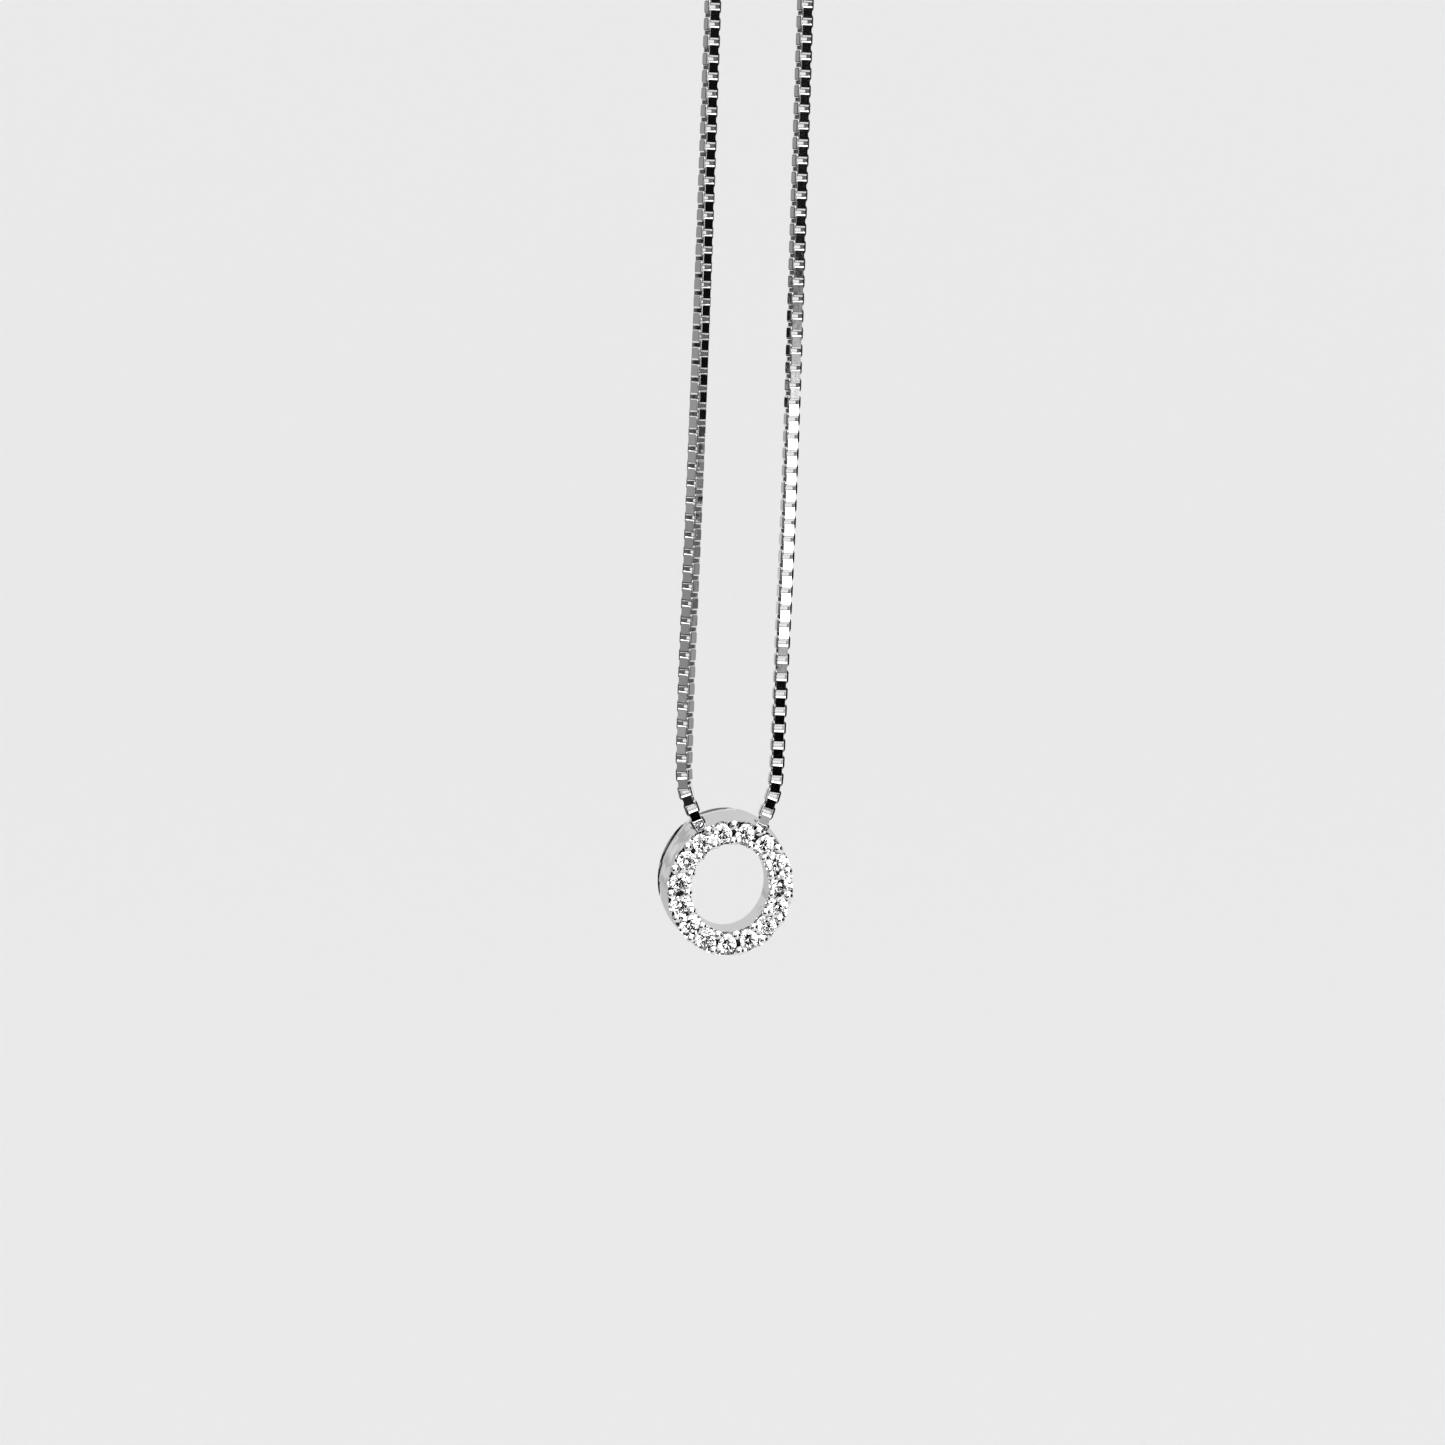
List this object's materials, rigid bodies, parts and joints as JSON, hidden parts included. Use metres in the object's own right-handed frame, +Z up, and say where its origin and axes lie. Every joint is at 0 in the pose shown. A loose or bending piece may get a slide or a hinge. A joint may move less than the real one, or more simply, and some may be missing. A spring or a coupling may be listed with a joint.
{
  "type": "letter necklace",
  "caption": "Open oval letter O pendant set with round brilliant stones, sliding on a fine box chain necklace with a plain ring clasp.",
  "frame": {"origin": "the point where the necklace hangs: the underside of the chain's top bend", "axes": "+Z up along the strands, the letter's front faces -Y, +X to the wearer's left in front view"},
  "size_m": [0.0077, 0.0053, 0.2294],
  "materials": {
    "letter_metal": "mirror polished",
    "chain_metal": "polished",
    "clasp_metal": "polished",
    "stone": "faceted, clear"
  },
  "bodies": {
    "chain": {"chain_top": "chain_metal", "chain_left": "chain_metal", "chain_in_letter": "chain_metal", "chain_right": "chain_metal", "upper_ring": "clasp_metal", "clasp": "clasp_metal", "lower_ring": "clasp_metal"},
    "letter": {"letter_frame": "letter_metal", "stone_01": "stone", "stone_02": "stone", "stone_03": "stone", "stone_04": "stone", "stone_05": "stone", "stone_06": "stone", "stone_07": "stone", "stone_08": "stone", "stone_09": "stone", "stone_10": "stone", "stone_11": "stone", "stone_12": "stone", "stone_13": "stone", "stone_14": "stone", "stone_15": "stone"}
  },
  "joints": [
    {"name": "letter_nod", "type": "hinge", "parent": "chain", "child": "letter", "pos_m": [0, 0, -0.2214], "axis": [1, 0, 0], "range_deg": [-20, 18]}
  ]
}
